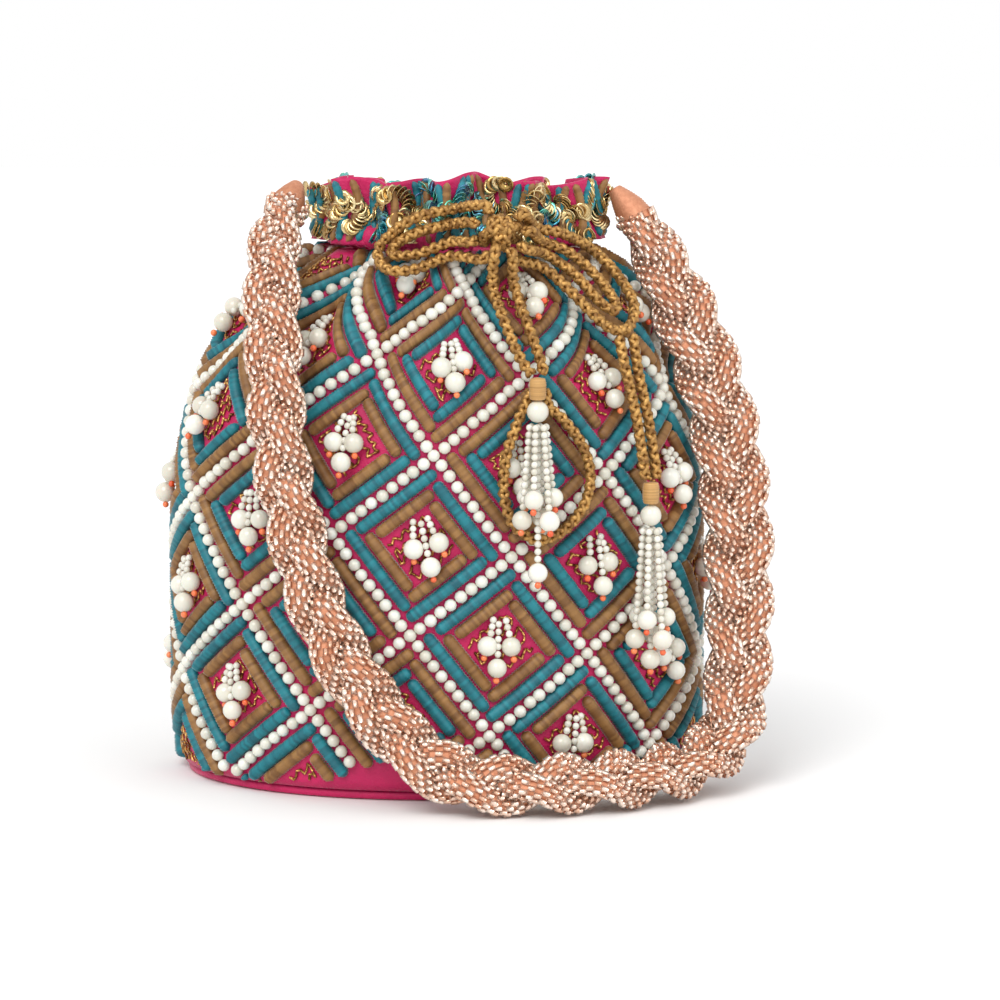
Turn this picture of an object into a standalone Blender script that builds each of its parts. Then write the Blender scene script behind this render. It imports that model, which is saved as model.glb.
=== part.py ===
"""Potli bag: an embroidered drawstring pouch with a plaited bead handle, in metres at its real size, +Z up.

The bag stands on z = 0 with its front towards -Y. Its origin is under the middle of the pouch.
Fabric places are given as (u, v): u is the way round at the fullest height, 0 at the front and growing
towards +X, and v is the way up the cloth from its lower edge. A lift is a distance out from the cloth.
"""

import math

import bmesh
import bpy
import numpy as np
from mathutils import Vector

MM = 0.001
GAP = 0.35 * MM

# The pouch: an oval that stands nearly upright, then rounds in to a gathered neck.
BODY_HALF_WIDTH = 82.5 * MM
BODY_HALF_DEPTH = 60 * MM
NECK_HALF_WIDTH = 39 * MM
NECK_HALF_DEPTH = 31 * MM
NECK_LEAN = 7 * MM
FULL_HEIGHT = 60 * MM
NECK_HEIGHT = 168 * MM
SHOULDER_POWER = 3.3
FOOT_TUCK = 2 * MM
FOOT_TUCK_HEIGHT = 25 * MM
BASE_THICKNESS = 3 * MM
WALL_THICKNESS = 2 * MM
FOLD_COUNT = 12
FOLD_DEPTH = 5 * MM
FOLDS_START = 100 * MM

# The embroidery: square cells on their points, turned so that nine steps one way and seven the
# other close round the pouch. Each cell has a pearl line, two wrapped cords and a pearl cluster.
STEPS_UP = 9
STEPS_DOWN = 7
CELL_CENTRE_U = -4 * MM
CELL_CENTRE_V = 77 * MM
CELL_RELIEF = [(0, 3.4), (2.2, 0.8), (4.4, 3.4), (6.7, 1.4), (8.9, 3.4), (11.4, 0), (14.6, 5.4)]
RELIEF_FADE = 12 * MM
CLUSTER_HEIGHT = 6.2 * MM
LINING_INSETS = [0, 4.4, 11.2]
FINE_CELLS_ABOVE = 116 * MM

# The neck: a drawstring channel and a frill above it.
CHANNEL_RADIUS = 3.6 * MM
CHANNEL_WALL = 0.7 * MM
CHANNEL_HEIGHT = NECK_HEIGHT + 4.4 * MM
CHANNEL_MOUTH = math.radians(19)
CHANNEL_MOUTH_HALF = math.radians(12)
FRILL_FOOT = NECK_HEIGHT + 8.6 * MM
FRILL_TOP = 192 * MM
FRILL_FLARE = 2.5 * MM
FRILL_THICKNESS = 1.6 * MM

# The cords and what hangs on them.
CORD_DIAMETER = 3.2 * MM
HANDLE_DIAMETER = 15 * MM
KNOT = Vector((20, -46.5, 175.5)) * MM
KNOT_RADIUS = 6 * MM
KNOT_CLEARANCE = 1.2 * MM
KNOT_LEAD = 4 * MM
PEARL_RADIUS = 3.1 * MM
STRING_RADIUS = 1.1 * MM
STRINGS_ROUND = 6
STRING_RING_TOP = 2.5 * MM
STRING_RING_END = 5 * MM

COLOURS = {
    "embroidery": ((0.04, 0.24, 0.27), 0.6, 0.0),
    "magenta": ((0.75, 0.005, 0.13), 0.7, 0.0),
    "gold_cord": ((0.62, 0.36, 0.10), 0.4, 0.6),
    "binding": ((0.62, 0.38, 0.15), 0.8, 0.0),
    "rose_gold": ((0.80, 0.42, 0.26), 0.3, 0.7),
    "pearl": ((0.86, 0.82, 0.72), 0.25, 0.0),
}


def start_collection():
    for obj in list(bpy.data.objects):
        bpy.data.objects.remove(obj)
    collection = bpy.data.collections.new("potli_bag")
    bpy.context.scene.collection.children.link(collection)
    return collection


BAG = start_collection()


def material(name):
    found = bpy.data.materials.get(name)
    if found:
        return found
    colour, roughness, metallic = COLOURS[name]
    made = bpy.data.materials.new(name)
    made.use_nodes = True
    shader = made.node_tree.nodes["Principled BSDF"]
    shader.inputs["Base Color"].default_value = (*colour, 1)
    shader.inputs["Roughness"].default_value = roughness
    shader.inputs["Metallic"].default_value = metallic
    return made


def add_object(name, data, finish):
    obj = bpy.data.objects.new(name, data)
    data.materials.append(material(finish))
    BAG.objects.link(obj)
    return obj


def add_mesh(name, bm, finish, sharp_degrees=40):
    mesh = bpy.data.meshes.new(name)
    bm.to_mesh(mesh)
    bm.free()
    mesh.shade_smooth()
    mesh.set_sharp_from_angle(angle=math.radians(sharp_degrees))
    return add_object(name, mesh, finish)


# The cloth's surface.


def shoulder(z):
    """0 up to the fullest height, then a power curve to 1 at the neck."""
    rise = np.clip((z - FULL_HEIGHT) / (NECK_HEIGHT - FULL_HEIGHT), 0, None)
    return rise**SHOULDER_POWER


def foot_tuck(z):
    return FOOT_TUCK * np.clip(1 - z / FOOT_TUCK_HEIGHT, 0, 1) ** 2


def half_width(z):
    return BODY_HALF_WIDTH + (NECK_HALF_WIDTH - BODY_HALF_WIDTH) * shoulder(z) - foot_tuck(z)


def half_depth(z):
    return BODY_HALF_DEPTH + (NECK_HALF_DEPTH - BODY_HALF_DEPTH) * shoulder(z) - foot_tuck(z)


def lean(z):
    return NECK_LEAN * shoulder(z)


# Tables that turn lengths along the cloth into heights and angles.
WALL_FOOT = BASE_THICKNESS + GAP
HEIGHTS = np.linspace(WALL_FOOT, NECK_HEIGHT, 600)
MEAN_RADII = (half_width(HEIGHTS) + half_depth(HEIGHTS)) / 2
CLIMB = np.concatenate([[0], np.cumsum(np.hypot(np.diff(HEIGHTS), np.diff(MEAN_RADII)))])
CLOTH_HEIGHT = CLIMB[-1]
RADIUS_SLOPE = np.gradient(MEAN_RADII, CLIMB)
HEIGHT_SLOPE = np.gradient(HEIGHTS, CLIMB)
ANGLES = np.linspace(-math.pi, math.pi, 1441)
ARCS = np.hypot(BODY_HALF_WIDTH * np.cos(ANGLES), BODY_HALF_DEPTH * np.sin(ANGLES))
ROUND = np.concatenate([[0], np.cumsum((ARCS[1:] + ARCS[:-1]) / 2 * np.diff(ANGLES))])
GIRTH = ROUND[-1]


def angle_of(u):
    """The oval's angle for a length round the cloth, 0 at the front."""
    turns = np.floor(u / GIRTH + 0.5)
    return np.interp(u - turns * GIRTH, ROUND - GIRTH / 2, ANGLES) + 2 * math.pi * turns


def fold_wave(angle):
    """Gathers round the neck, +1 on a fold and -1 in a crease, a little uneven."""
    uneven = angle + 0.05 * np.sin(3 * angle + 1) + 0.03 * np.sin(5 * angle + 2)
    return np.cos(FOLD_COUNT * uneven)


def fold_depth(z):
    rise = np.clip((z - FOLDS_START) / (NECK_HEIGHT - FOLDS_START), 0, 1)
    return FOLD_DEPTH * rise * rise * (3 - 2 * rise)


def oval_point(angle, z, out, up=0.0):
    """A point out from the pouch's oval at a height, moved up by a further amount."""
    a, b = half_width(z), half_depth(z)
    nx, ny = np.sin(angle) / a, -np.cos(angle) / b
    length = np.hypot(nx, ny)
    x = lean(z) + a * np.sin(angle) + out * nx / length
    y = -b * np.cos(angle) + out * ny / length
    return np.stack([x, y, z + up], axis=-1)


def cloth_point(u, v, lift, folds=1.0):
    """The place of a cloth point, lifted along the cloth's own slope and moved by the gathers.

    The embroidery's relief fades out just under the neck.
    """
    angle, z = angle_of(u), np.interp(v, CLIMB, HEIGHTS)
    lift = np.where(lift > 0, lift * np.clip((CLOTH_HEIGHT - v) / RELIEF_FADE, 0, 1), lift)
    out = lift * np.interp(v, CLIMB, HEIGHT_SLOPE) + folds * fold_depth(z) * fold_wave(angle)
    return oval_point(angle, z, out, -lift * np.interp(v, CLIMB, RADIUS_SLOPE))


def front_point(x, z, lift):
    """The place in front of the pouch at an x and a height, that far out from the cloth."""
    level = min(z, NECK_HEIGHT)
    a, b = half_width(level) + lift, half_depth(level) + lift
    across = np.clip((x - lean(level)) / a, -1, 1)
    return Vector((x, -b * math.sqrt(1 - across * across), z))


# The embroidered panel: a loft of nested squares in every cell, wrapped round the pouch.
CELL = GIRTH / math.hypot(STEPS_UP, STEPS_DOWN)
TILT = math.atan2(STEPS_DOWN, STEPS_UP)
STEP_UP = np.array([math.cos(TILT), math.sin(TILT)]) * CELL
STEP_DOWN = np.array([math.sin(TILT), -math.cos(TILT)]) * CELL
CELL_ZERO = np.array([CELL_CENTRE_U, CELL_CENTRE_V]) - (STEP_UP + STEP_DOWN) / 2


def cell_place(i, j):
    """The flat (u, v) of lattice place i steps down and j steps up, where halves are inside a cell."""
    return CELL_ZERO + i * STEP_DOWN + j * STEP_UP


def side_pieces(i0, j0, i1, j1):
    """Pieces along a cell's side: more where the cloth bends into its gathers."""
    middle = cell_place((i0 + i1) / 2, (j0 + j1) / 2)
    return 3 if middle[1] > FINE_CELLS_ABOVE else 2


def square_ring(i, j, inset, corners):
    """Places round one nested square of a cell, a list for each side, without the side's last place."""
    share = inset * MM / CELL
    sides = []
    for k in range(4):
        start, end = corners[k], corners[(k + 1) % 4]
        count = side_pieces(i + start[0], j + start[1], i + end[0], j + end[1])
        for step in range(count):
            at = [s + (e - s) * step / count for s, e in zip(start, end)]
            p, q = [0.5 + (c - 0.5) * (1 - 2 * share) for c in at]
            sides.append(cell_place(i + p, j + q))
    return sides


def add_flat_cell(bm, i, j):
    """One cell in flat cloth: its relief on the face, and plain cloth on the back."""
    corners = [(0, 0), (1, 0), (1, 1), (0, 1)]

    def loft(rings, centre_height, outward):
        made = [[bm.verts.new((*place, height)) for place in ring] for ring, height in rings]
        centre = bm.verts.new((*cell_place(i + 0.5, j + 0.5), centre_height))
        count = len(made[0])
        for k in range(count):
            after = (k + 1) % count
            for lower, upper in zip(made, made[1:]):
                face = [lower[k], lower[after], upper[after], upper[k]]
                bm.faces.new(face if outward else face[::-1])
            face = [made[-1][k], made[-1][after], centre]
            bm.faces.new(face if outward else face[::-1])

    relief = [(square_ring(i, j, inset, corners), height * MM) for inset, height in CELL_RELIEF]
    back = [(square_ring(i, j, inset, corners), -WALL_THICKNESS) for inset in LINING_INSETS]
    loft(relief, CLUSTER_HEIGHT, True)
    loft(back, -WALL_THICKNESS, False)


def fill_cut_edge(bm, v):
    """Closes the panel along a cut at one height, as a strip of triangles between its face and its back."""
    cut = [e for e in bm.edges if e.is_boundary and all(abs(p.co.y - v) < 1e-6 for p in e.verts)]
    verts = sorted({vert for edge in cut for vert in edge.verts}, key=lambda p: p.co.x)
    face = [vert for vert in verts if vert.co.z > -WALL_THICKNESS / 2]
    back = [vert for vert in verts if vert.co.z <= -WALL_THICKNESS / 2]
    while len(face) > 1 or len(back) > 1:
        if len(back) == 1 or (len(face) > 1 and face[1].co.x <= back[1].co.x):
            bm.faces.new((face[0], face[1], back[0]))
            face.pop(0)
        else:
            bm.faces.new((face[0], back[1], back[0]))
            back.pop(0)


def build_embroidered_panel():
    bm = bmesh.new()
    reach = range(-8, 17)
    for i in reach:
        for j in reach:
            u, v = cell_place(i + 0.5, j + 0.5)
            if -GIRTH / 2 <= u < GIRTH / 2 and -CELL < v < CLOTH_HEIGHT + CELL:
                add_flat_cell(bm, i, j)
    bmesh.ops.remove_doubles(bm, verts=bm.verts, dist=0.01 * MM)
    for v, side in ((0.0, -1), (CLOTH_HEIGHT, 1)):
        everything = bm.verts[:] + bm.edges[:] + bm.faces[:]
        cut = {"plane_co": (0, v, 0), "plane_no": (0, side, 0), "clear_outer": True}
        bmesh.ops.bisect_plane(bm, geom=everything, dist=0.005 * MM, **cut)
        fill_cut_edge(bm, v)
    flat = np.array([vert.co for vert in bm.verts])
    placed = cloth_point(flat[:, 0], flat[:, 1], flat[:, 2])
    for vert, place in zip(bm.verts, placed):
        vert.co = place
    bmesh.ops.remove_doubles(bm, verts=bm.verts, dist=0.02 * MM)
    bmesh.ops.triangulate(bm, faces=bm.faces)
    bmesh.ops.recalc_face_normals(bm, faces=bm.faces)
    return add_mesh("embroidered_panel", bm, "embroidery")


def ring_shell(name, rows, columns, finish):
    """A closed tube-shaped shell. rows are functions of the angle, up the outside and down the inside."""
    bm = bmesh.new()
    angles = np.linspace(-math.pi, math.pi, columns, endpoint=False)
    rings = [[bm.verts.new(place) for place in row(angles)] for row in rows]
    for lower, upper in zip(rings, rings[1:] + rings[:1]):
        for k in range(columns):
            after = (k + 1) % columns
            bm.faces.new([lower[k], lower[after], upper[after], upper[k]])
    bmesh.ops.triangulate(bm, faces=bm.faces)
    bmesh.ops.recalc_face_normals(bm, faces=bm.faces)
    return add_mesh(name, bm, finish)


LINING_THICKNESS = 0.8 * MM
LINING_ROWS = 8
LINING_COLUMNS = 36
LINING_CLEARANCE = 2.4 * MM
CREASE_ROOM = 1.6
LINING_FOOT = WALL_FOOT + 0.9 * MM
LINING_TOP = NECK_HEIGHT - 2.4 * MM


def build_lining():
    """The inner pouch: plain cloth that hangs inside the panel, clear of its gathers."""

    def row(z, inside):
        out = -(WALL_THICKNESS + LINING_CLEARANCE + CREASE_ROOM * fold_depth(z) + inside * LINING_THICKNESS)
        return lambda angle: oval_point(angle, np.full_like(angle, z), out)

    share = np.linspace(0, 1, LINING_ROWS)
    heights = LINING_FOOT + (LINING_TOP - LINING_FOOT) * (1 - (1 - share) ** 1.5)
    rows = [row(z, 0) for z in heights] + [row(z, 1) for z in heights[::-1]]
    return ring_shell("lining", rows, LINING_COLUMNS, "magenta")


def build_base():
    """The stiffened oval floor, with the panel sewn round its edge."""
    bpy.ops.mesh.primitive_cylinder_add(vertices=64, radius=1, depth=1)
    made = bpy.context.object
    for collection in list(made.users_collection):
        collection.objects.unlink(made)
    BAG.objects.link(made)
    made.name = made.data.name = "base_panel"
    across = half_width(0.0) + 1.5 * MM
    along = half_depth(0.0) + 1.5 * MM
    for vert in made.data.vertices:
        vert.co = (vert.co.x * across, vert.co.y * along, (vert.co.z + 0.5) * BASE_THICKNESS)
    made.data.materials.append(material("magenta"))
    return made


def frill_ring(height, share, inside):
    """One level of the ruffled frill: share 0 at its foot and 1 at its top edge."""
    deep = FOLD_DEPTH * (0.9 + 0.25 * share)

    def row(angle):
        out = FRILL_FLARE * share**2 - inside * FRILL_THICKNESS + deep * fold_wave(angle)
        place = oval_point(angle, np.full_like(angle, NECK_HEIGHT), out)
        place[:, 2] = height
        return place

    return row


def build_frill():
    shares = np.linspace(0, 1, 4)
    levels = FRILL_FOOT + (FRILL_TOP - FRILL_FOOT) * shares
    outside = [frill_ring(z, s, 0) for z, s in zip(levels, shares)]
    inside = [frill_ring(z, s, 1) for z, s in zip(levels[::-1], shares[::-1])]
    return ring_shell("frill", outside + inside, 96, "magenta")


# Tubes along hand-set routes.


def smooth_route(points, spacing):
    """Points a spacing apart on one smooth curve through the given ones (Catmull-Rom)."""
    p = np.array([tuple(q) for q in points])
    p = np.concatenate([[2 * p[0] - p[1]], p, [2 * p[-1] - p[-2]]])
    t = np.linspace(0, 1, 24, endpoint=False)[:, None]
    runs = []
    for a, b, c, d in zip(p, p[1:], p[2:], p[3:]):
        runs.append(0.5 * (2 * b + (c - a) * t + (2 * a - 5 * b + 4 * c - d) * t**2 + (3 * b - a - 3 * c + d) * t**3))
    line = np.concatenate(runs + [p[-2:-1]])
    along = np.concatenate([[0], np.cumsum(np.linalg.norm(np.diff(line, axis=0), axis=1))])
    at = np.linspace(0, along[-1], max(3, round(along[-1] / spacing) + 1))
    return np.stack([np.interp(at, along, line[:, k]) for k in range(3)], axis=1)


def add_tube(name, points, diameter, finish, spacing=2.4, sides=2):
    route = smooth_route(points, spacing * diameter)
    curve = bpy.data.curves.new(name, "CURVE")
    curve.dimensions = "3D"
    curve.bevel_depth = diameter / 2
    curve.bevel_resolution = sides
    curve.use_fill_caps = True
    spline = curve.splines.new("POLY")
    spline.points.add(len(route) - 1)
    for point, place in zip(spline.points, route):
        point.co = (*place, 1)
    return add_object(name, curve, finish)


def channel_line(start, end, count):
    """Places along the drawstring channel's middle, from one oval angle to another."""
    angle = np.linspace(start, end, count)
    place = oval_point(angle, np.full_like(angle, NECK_HEIGHT), 0.0)
    place[:, 2] = CHANNEL_HEIGHT
    return place


def build_channel():
    """The drawstring's cloth channel, open where the cord comes out at the front."""
    start = CHANNEL_MOUTH + CHANNEL_MOUTH_HALF
    end = 2 * math.pi + CHANNEL_MOUTH - CHANNEL_MOUTH_HALF
    line = channel_line(start, end, 44)
    tube = add_tube("channel_guide", line, 2 * CHANNEL_RADIUS, "magenta", spacing=0.85, sides=1)
    tube.data.use_fill_caps = False
    evaluated = tube.evaluated_get(bpy.context.evaluated_depsgraph_get())
    mesh = bpy.data.meshes.new_from_object(evaluated)
    mesh.name = "drawstring_channel"
    bm = bmesh.new()
    bm.from_mesh(mesh)
    bmesh.ops.remove_doubles(bm, verts=bm.verts, dist=0.01 * MM)
    bmesh.ops.recalc_face_normals(bm, faces=bm.faces)
    bm.to_mesh(mesh)
    bm.free()
    bpy.data.objects.remove(tube)
    made = bpy.data.objects.new("drawstring_channel", mesh)
    BAG.objects.link(made)
    wall = made.modifiers.new("wall", "SOLIDIFY")
    wall.thickness = CHANNEL_WALL
    wall.offset = -1
    return made


def knot_exit(*direction):
    """Two places on a line straight out of the knot, the first just clear of its surface."""
    away = Vector(direction).normalized()
    return [KNOT + away * (KNOT_RADIUS + KNOT_CLEARANCE), KNOT + away * (KNOT_RADIUS + KNOT_LEAD)]


def millimetres(points):
    return [Vector(p) * MM for p in points]


def on_cloth(points):
    """Places in front of the pouch, from (x, height, lift) in millimetres."""
    return [front_point(x * MM, z * MM, lift * MM) for x, z, lift in points]


def build_neck_cord():
    """The drawstring inside its channel, with both ends out at the mouth to the knot."""
    inside = list(map(Vector, channel_line(CHANNEL_MOUTH + 0.12, 2 * math.pi + CHANNEL_MOUTH - 0.12, 60)))
    right = knot_exit(0.5, 0.9, -0.25)
    left = knot_exit(-0.5, 0.9, -0.25)
    route = [*right, *inside, *left[::-1]]
    return add_tube("drawstring_in_channel", route, CORD_DIAMETER, "gold_cord", spacing=1.5)


# Each bow loop's middle line, as (x, height, lift) in millimetres, between two exits of the knot.
LEFT_OUTER = [(6, 182.5, 11), (-5, 180, 12), (-13, 175, 12), (-17.5, 169, 12.5), (-14.5, 164, 13), (-6, 164.2, 13), (5, 168, 12)]
LEFT_INNER = [(4, 177.6, 11.5), (-5, 175.3, 12), (-12, 171.3, 12.5), (-12.6, 168.2, 13), (-5, 168.6, 12.7), (5, 172.4, 12)]
RIGHT_OUTER = [
    (31, 176.5, 11.5), (40, 174, 12), (49, 168.5, 12), (57, 160.5, 12), (62, 151.5, 12),
    (60, 145.5, 12), (54.5, 145.5, 12), (48, 151, 12), (41, 158, 12), (33, 164.5, 12),
]
RIGHT_INNER = [
    (33, 172.2, 11.8), (41, 168.6, 12), (49, 162, 12), (55, 154.6, 12), (56, 150.6, 12),
    (51.5, 153, 12), (43, 162, 12), (34, 168.2, 12),
]


def build_bow():
    bpy.ops.mesh.primitive_uv_sphere_add(segments=12, ring_count=8, radius=KNOT_RADIUS, location=KNOT)
    knot = bpy.context.object
    for collection in list(knot.users_collection):
        collection.objects.unlink(knot)
    BAG.objects.link(knot)
    knot.name = knot.data.name = "bow_knot"
    knot.data.shade_smooth()
    knot.data.materials.append(material("gold_cord"))
    loops = {
        "bow_left_outer_loop": ((-0.5, -0.2, 0.95), LEFT_OUTER, (-0.6, -0.15, -0.9)),
        "bow_left_inner_loop": ((-1, -0.15, 0.36), LEFT_INNER, (-1, -0.15, -0.3)),
        "bow_right_outer_loop": ((0.8, -0.2, 0.65), RIGHT_OUTER, (0.55, 0.15, -0.9)),
        "bow_right_inner_loop": ((1, -0.15, 0.05), RIGHT_INNER, (0.85, -0.15, -0.5)),
    }
    for name, (out, middle, back) in loops.items():
        route = [*knot_exit(*out), *on_cloth(middle), *knot_exit(*back)[::-1]]
        add_tube(name, route, CORD_DIAMETER, "gold_cord")


# The two tails of the bow, as (x, height, lift) in millimetres.
FRONT_TAIL_LEFT = [(18, 160, 14), (22, 148, 12.5), (26.5, 138, 12.5), (29.8, 133.4, 12.5)]
FRONT_TAIL_RIGHT = [(24.5, 160, 14), (28.5, 148, 12.5), (32, 139, 12.5), (33.6, 133.4, 12.5)]
FRONT_BINDING = (31.7, 129, 12.5)
FRONT_END_LOOP = [
    (29.7, 128, 7.8), (27.6, 123, 7.2), (25, 117, 7.2), (22, 108, 7.2), (21.4, 97, 7.2),
    (24.4, 87.6, 7.2), (31.5, 82.6, 7.2), (39.5, 85, 7.2), (46, 92.5, 7.2), (48, 101.5, 7.2),
    (45.4, 111, 7.2), (39.5, 119, 7.4), (35.2, 123, 7.6), (34, 128, 7.8),
]
SIDE_TAIL_LEFT = [(57, 143, 12), (59.2, 132, 11.2), (62, 120, 10.8), (64, 108, 10.6), (65, 99.8, 10.6)]
SIDE_TAIL_RIGHT = [(61.4, 143, 12), (63, 132, 11.2), (65.6, 120, 10.8), (67.6, 108, 10.6), (68.6, 99.8, 10.6)]
SIDE_BINDING = (66.8, 95.2, 11)
BINDING_LENGTH = 7 * MM
BINDING_RADIUS = 2.7 * MM
PEARL_STAGGER = 6.4 * MM
# Each tassel's strings: how far down the first pearls hang, how much further the longest one does,
# and how far forward they slope as they go down.
FRONT_STRINGS = (22 * MM, 22 * MM, 0.29)
SIDE_STRINGS = (28 * MM, 13 * MM, 0.05)


def turned(name, profile, steps, finish, place):
    """A turned solid. profile is (radius, height) from the top down, from axis to axis."""
    bm = bmesh.new()
    verts = [bm.verts.new((r, 0, z)) for r, z in profile]
    for a, b in zip(verts, verts[1:]):
        bm.edges.new((a, b))
    made = add_mesh(name, bm, finish)
    made.location = place
    screw = made.modifiers.new("turn", "SCREW")
    screw.axis = "Z"
    screw.steps = screw.render_steps = steps
    screw.use_merge_vertices = True
    screw.merge_threshold = 0.00001
    return made


def ball_profile(radius, middle, pieces, from_angle=90, to_angle=-90):
    """Points down a half circle, from one latitude to another, at a height."""
    turns = np.radians(np.linspace(from_angle, to_angle, pieces))
    return [(max(radius * math.cos(a), 0), middle + radius * math.sin(a)) for a in turns]


def string_profile(length):
    """A string of beads that ends in a pearl and a small stop bead, from the top down."""
    neck = math.degrees(math.acos(STRING_RADIUS / PEARL_RADIUS))
    pearl = ball_profile(PEARL_RADIUS, -length, 6, neck, -neck)
    stop = pearl[-1][1] - 1.5 * MM
    return [(0, 0), (STRING_RADIUS, 0), *pearl, (STRING_RADIUS * 0.9, stop), (0, stop)]


def aim(obj, towards):
    """Turns a part that was made hanging straight down so that it hangs towards a direction."""
    obj.rotation_mode = "QUATERNION"
    obj.rotation_quaternion = Vector((0, 0, -1)).rotation_difference(Vector(towards))


def build_tassel(side, binding, strings):
    """Thread binding, top pearl and seven bead strings, which hang straight down."""
    x, z, lift = binding
    first_pearl, longer, forward = strings
    middle = front_point(x * MM, z * MM, lift * MM)
    half = BINDING_LENGTH / 2
    barrel = [(0, half), (0.7 * BINDING_RADIUS, half), (BINDING_RADIUS, half / 3)]
    barrel += [(r, -h) for r, h in barrel[::-1]]
    turned(f"{side}_tassel_binding", barrel, 12, "binding", middle)
    pearl = middle - Vector((0, 0, half + PEARL_RADIUS + GAP))
    turned(f"{side}_tassel_top_pearl", ball_profile(PEARL_RADIUS * 1.1, 0, 8), 12, "pearl", pearl)
    top = pearl - Vector((0, 0, PEARL_RADIUS * 1.1 + GAP))
    for k in range(STRINGS_ROUND + 1):
        around = 2 * math.pi * (k + 0.25) / STRINGS_ROUND
        ring = Vector((math.cos(around), math.sin(around), 0)) * (k < STRINGS_ROUND)
        long = first_pearl + (PEARL_STAGGER * (k % 2) if k < STRINGS_ROUND else longer)
        start = top + ring * STRING_RING_TOP
        finish = top + ring * STRING_RING_END + Vector((0, -forward, -1)) * long
        profile = string_profile((finish - start).length)
        string = turned(f"{side}_tassel_string_{k + 1}", profile, 6, "pearl", start)
        aim(string, finish - start)


def build_tails():
    tails = {
        "front_tail_left_strand": (FRONT_TAIL_LEFT, (-0.15, -0.85, -0.6)),
        "front_tail_right_strand": (FRONT_TAIL_RIGHT, (0.45, -0.6, -0.75)),
    }
    for name, (middle, out) in tails.items():
        add_tube(name, [*knot_exit(*out), *on_cloth(middle)], CORD_DIAMETER, "gold_cord")
    add_tube("front_tail_end_loop", on_cloth(FRONT_END_LOOP), CORD_DIAMETER, "gold_cord")
    add_tube("side_tail_left_strand", on_cloth(SIDE_TAIL_LEFT), CORD_DIAMETER, "gold_cord")
    add_tube("side_tail_right_strand", on_cloth(SIDE_TAIL_RIGHT), CORD_DIAMETER, "gold_cord")
    build_tassel("front", FRONT_BINDING, FRONT_STRINGS)
    build_tassel("side", SIDE_BINDING, SIDE_STRINGS)


# The handle's middle line, from the left side of the neck down over the front to the floor, along it
# and up the right side, in millimetres.
HANDLE_ROUTE = [
    (-46, -17, 181), (-49, -26, 174), (-50, -36, 165), (-50, -46, 152), (-49, -56, 137),
    (-48, -62, 120), (-46, -64, 102), (-42, -66, 84), (-37, -68.5, 66), (-29, -71.5, 48),
    (-18, -74, 31), (-5, -76, 17), (9, -78, 9.5), (23, -79, 8), (38, -77, 8), (53, -71.5, 8),
    (68, -62, 8), (81, -50, 9), (90.5, -39, 15), (94.5, -31, 27), (95.5, -27, 44), (95.5, -25, 62),
    (95, -23, 80), (93, -21, 98), (89.5, -19, 116), (84, -16, 133), (77.5, -13, 148),
    (71.5, -9, 161), (66, -5, 171.5), (61.6, -2.5, 177.5),
]
HANDLE_END_LENGTH = 9 * MM
HANDLE_END_TIP = 2.2 * MM


def build_handle():
    """The plait's outer shape, and the stitched ends that taper into the neck under the frill."""
    line = millimetres(HANDLE_ROUTE)
    add_tube("handle_plait", line, HANDLE_DIAMETER, "rose_gold", spacing=0.95, sides=3)
    for side, end, before in (("left", line[0], line[1]), ("right", line[-1], line[-2])):
        out = (end - before).normalized()
        length, wide = HANDLE_END_LENGTH, HANDLE_DIAMETER / 2
        profile = [(0, 0), (wide * 0.9, 0), (wide * 0.62, -length / 2), (HANDLE_END_TIP, -length), (0, -length)]
        taper = turned(f"handle_{side}_end", profile, 12, "rose_gold", end + out * 2 * GAP)
        aim(taper, out)


build_embroidered_panel()
build_lining()
build_base()
build_channel()
build_frill()
build_neck_cord()
build_bow()
build_tails()
build_handle()
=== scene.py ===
import math

import bpy
import numpy as np
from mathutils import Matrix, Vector


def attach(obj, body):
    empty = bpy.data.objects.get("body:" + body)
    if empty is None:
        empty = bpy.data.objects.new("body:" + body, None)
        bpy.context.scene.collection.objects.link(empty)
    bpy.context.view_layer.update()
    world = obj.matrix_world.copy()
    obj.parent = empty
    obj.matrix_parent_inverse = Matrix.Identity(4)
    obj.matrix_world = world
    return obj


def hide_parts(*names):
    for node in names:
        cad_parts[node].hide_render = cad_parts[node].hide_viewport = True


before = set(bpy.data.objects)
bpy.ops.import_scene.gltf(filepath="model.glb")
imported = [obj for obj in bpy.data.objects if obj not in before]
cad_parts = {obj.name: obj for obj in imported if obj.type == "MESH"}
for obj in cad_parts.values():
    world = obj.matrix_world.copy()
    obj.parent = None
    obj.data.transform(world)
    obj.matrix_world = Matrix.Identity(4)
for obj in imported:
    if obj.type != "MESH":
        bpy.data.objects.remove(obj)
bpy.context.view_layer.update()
MM = 0.001

# The camera and the room.
# The bag stands on a pale floor under a broad soft lamp and an even sky, and a long lens looks at it
# from a little above its middle.
CAMERA_ELEVATION = math.radians(8)
CAMERA_DISTANCE = 1.4
CAMERA_AIM = Vector((0.0202, 0, 0.0862))
looking = Vector((0, math.cos(CAMERA_ELEVATION), -math.sin(CAMERA_ELEVATION)))
lens = bpy.data.cameras.new("camera")
lens.lens = 157.5
camera = bpy.data.objects.new("camera", lens)
camera.location = CAMERA_AIM - looking * CAMERA_DISTANCE
camera.rotation_euler = looking.to_track_quat("-Z", "Y").to_euler()
bpy.context.scene.collection.objects.link(camera)
bpy.context.scene.camera = camera
bpy.context.scene.view_settings.view_transform = "Standard"


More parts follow.
